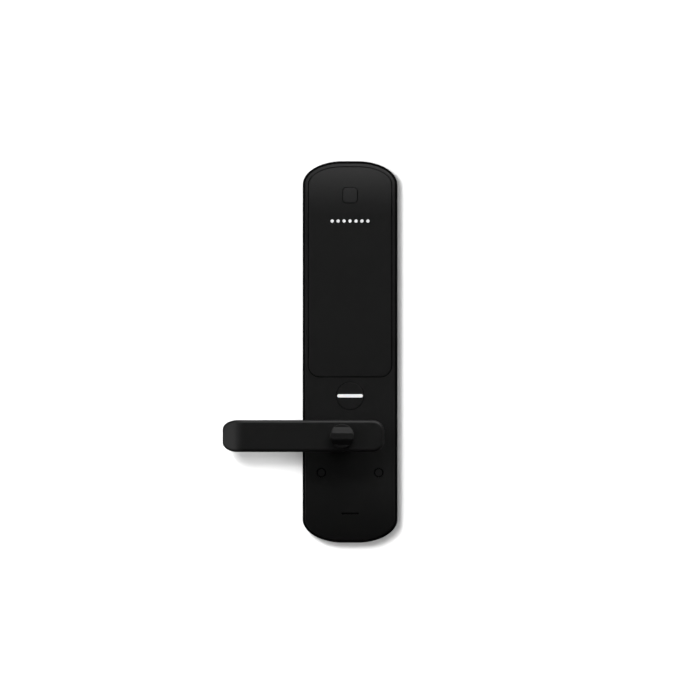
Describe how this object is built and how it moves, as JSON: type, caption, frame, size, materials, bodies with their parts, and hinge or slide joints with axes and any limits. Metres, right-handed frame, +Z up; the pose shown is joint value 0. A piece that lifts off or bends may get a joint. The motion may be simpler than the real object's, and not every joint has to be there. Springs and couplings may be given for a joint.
{
  "type": "keypad smart lock",
  "caption": "Tall black keypad lock unit for a door: touch panel, fingerprint sensor, round button with a light bar, lever handle and turn knob.",
  "frame": {"origin": "on the lever's axis, in the plane of the door's face", "axes": "+X to the right and +Z up as the lock is seen from the front; the front faces -Y and the door is at y = 0"},
  "size_m": [0.141, 0.1224, 0.308],
  "materials": {
    "black_paint": "satin",
    "panel_cover": "satin",
    "white_print": "matte",
    "black_foam": "matte",
    "white_plastic": "matte",
    "black_plastic": "matte",
    "circuit_board": "satin",
    "chip": "matte",
    "lamp": "gloss",
    "sensor_glass": "satin",
    "bush_brass": "turned",
    "black_steel": "satin",
    "bright_steel": "satin",
    "plated_steel": "matte",
    "silicone": "matte",
    "light_pipe": "satin"
  },
  "bodies": {
    "case": {"front_housing": "black_paint", "touch_panel": "panel_cover", "panel_mark": "white_print", "panel_tape": "black_foam", "light_guide": "white_plastic", "keypad_board": "circuit_board", "keypad_lamps": "lamp", "fingerprint_sensor": "sensor_glass", "sensor_board": "circuit_board", "lever_bush": "black_plastic", "cover_screws": "black_steel", "screw_caps": "black_plastic", "cover_standoffs": "bright_steel", "sound_foam": "black_foam", "buzzer": "black_plastic", "rear_plate": "plated_steel", "rear_gasket": "black_foam", "cable_grommet": "black_foam", "mount_posts": "bright_steel", "rear_screws": "bright_steel", "board_standoffs": "bush_brass", "main_board": "circuit_board", "board_screws": "bright_steel", "board_chips": "chip", "harness_socket": "white_plastic", "button_pad": "silicone", "button_board": "circuit_board", "button_screws": "bright_steel", "button_switch": "black_plastic", "status_lamps": "lamp", "spring_plate": "plated_steel", "plate_screws": "bright_steel", "return_spring": "bright_steel", "shoe_guide": "white_plastic", "motor_clamp": "white_plastic", "saddle_screws": "bright_steel", "clutch_motor": "bright_steel"},
    "handle": {"lever": "black_paint", "lever_shaft": "bright_steel", "grub_screw": "black_steel", "lever_circlip": "black_steel", "clutch_drum": "plated_steel", "hub": "plated_steel", "spindle": "bright_steel", "pin_spring": "bright_steel"},
    "turn": {"turn_knob": "black_paint", "turn_tail": "bright_steel", "turn_clip": "black_steel"},
    "button": {"status_button": "black_paint", "light_bar": "light_pipe", "switch_plunger": "white_plastic"},
    "lead_screw": {"clutch_screw": "bright_steel"},
    "shoe": {"clutch_shoe": "white_plastic"},
    "pin": {"clutch_pin": "bright_steel"}
  },
  "joints": [
    {"name": "lever_turn", "type": "hinge", "parent": "case", "child": "handle", "pos_m": [0, 0, 0], "axis": [0, -1, 0], "range_deg": [0, 45], "stiffness_Nm_per_rad": 0.6, "springref_deg": -22.92, "deforming": ["return_spring"]},
    {"name": "knob_turn", "type": "hinge", "parent": "case", "child": "turn", "pos_m": [0, 0, 0], "axis": [0, -1, 0], "range_deg": [0, 90]},
    {"name": "button_press", "type": "slide", "parent": "case", "child": "button", "axis": [0, 1, 0], "range_m": [0, 0.0012], "stiffness_N_per_m": 1500, "springref_m": -0.001, "deforming": ["button_pad"]},
    {"name": "clutch_shoe_slide", "type": "slide", "parent": "case", "child": "shoe", "axis": [0, 0, 1], "range_m": [0, 0.003]},
    {"name": "clutch_screw_spin", "type": "hinge", "parent": "case", "child": "lead_screw", "pos_m": [-0.004, -0.0094, 0.028], "axis": [0, 0, 1], "range_deg": [0, 720]},
    {"name": "clutch_pin_slide", "type": "slide", "parent": "handle", "child": "pin", "axis": [0, 0, 1], "range_m": [0, 0.0015], "deforming": ["pin_spring"]}
  ],
  "couplings": [
    {"joint": "clutch_screw_spin", "follows": "clutch_shoe_slide", "rad_per_m": 4188.8},
    {"joint": "clutch_pin_slide", "follows": "clutch_shoe_slide", "ratio": 0.5}
  ]
}
